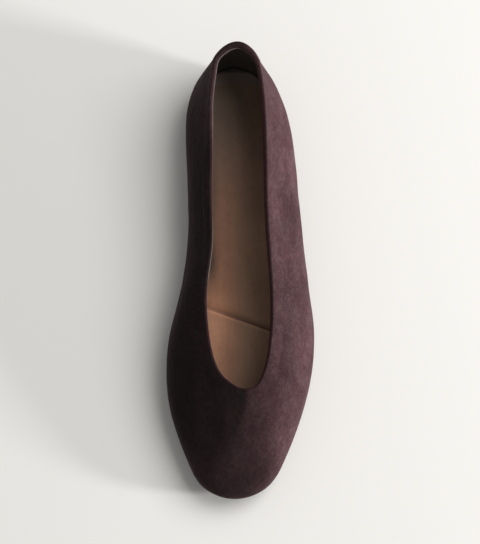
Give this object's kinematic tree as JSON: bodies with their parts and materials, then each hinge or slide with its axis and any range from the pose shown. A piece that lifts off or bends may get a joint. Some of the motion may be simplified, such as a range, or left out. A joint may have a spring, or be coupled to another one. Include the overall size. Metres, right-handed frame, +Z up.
{
  "type": "ballet flat",
  "caption": "Low ballet flat for the left foot: soft suede upper with a turned topline, round toe, covered insole, thin outsole and low heel block.",
  "frame": {"origin": "on the floor, under the middle of the shoe's bounding box", "axes": "+Y from heel to toe, +Z up, +X to the medial side of the left foot"},
  "size_m": [0.0834, 0.2539, 0.0597],
  "materials": {
    "suede": "soft napped suede, dark aubergine",
    "insole_leather": "smooth matt tan",
    "sole_rubber": "matt near-black brown",
    "heel_rubber": "matt near-black brown"
  },
  "bodies": {
    "root": {"upper": "suede", "insole": "insole_leather", "outsole": "sole_rubber", "heel": "heel_rubber"}
  },
  "joints": []
}
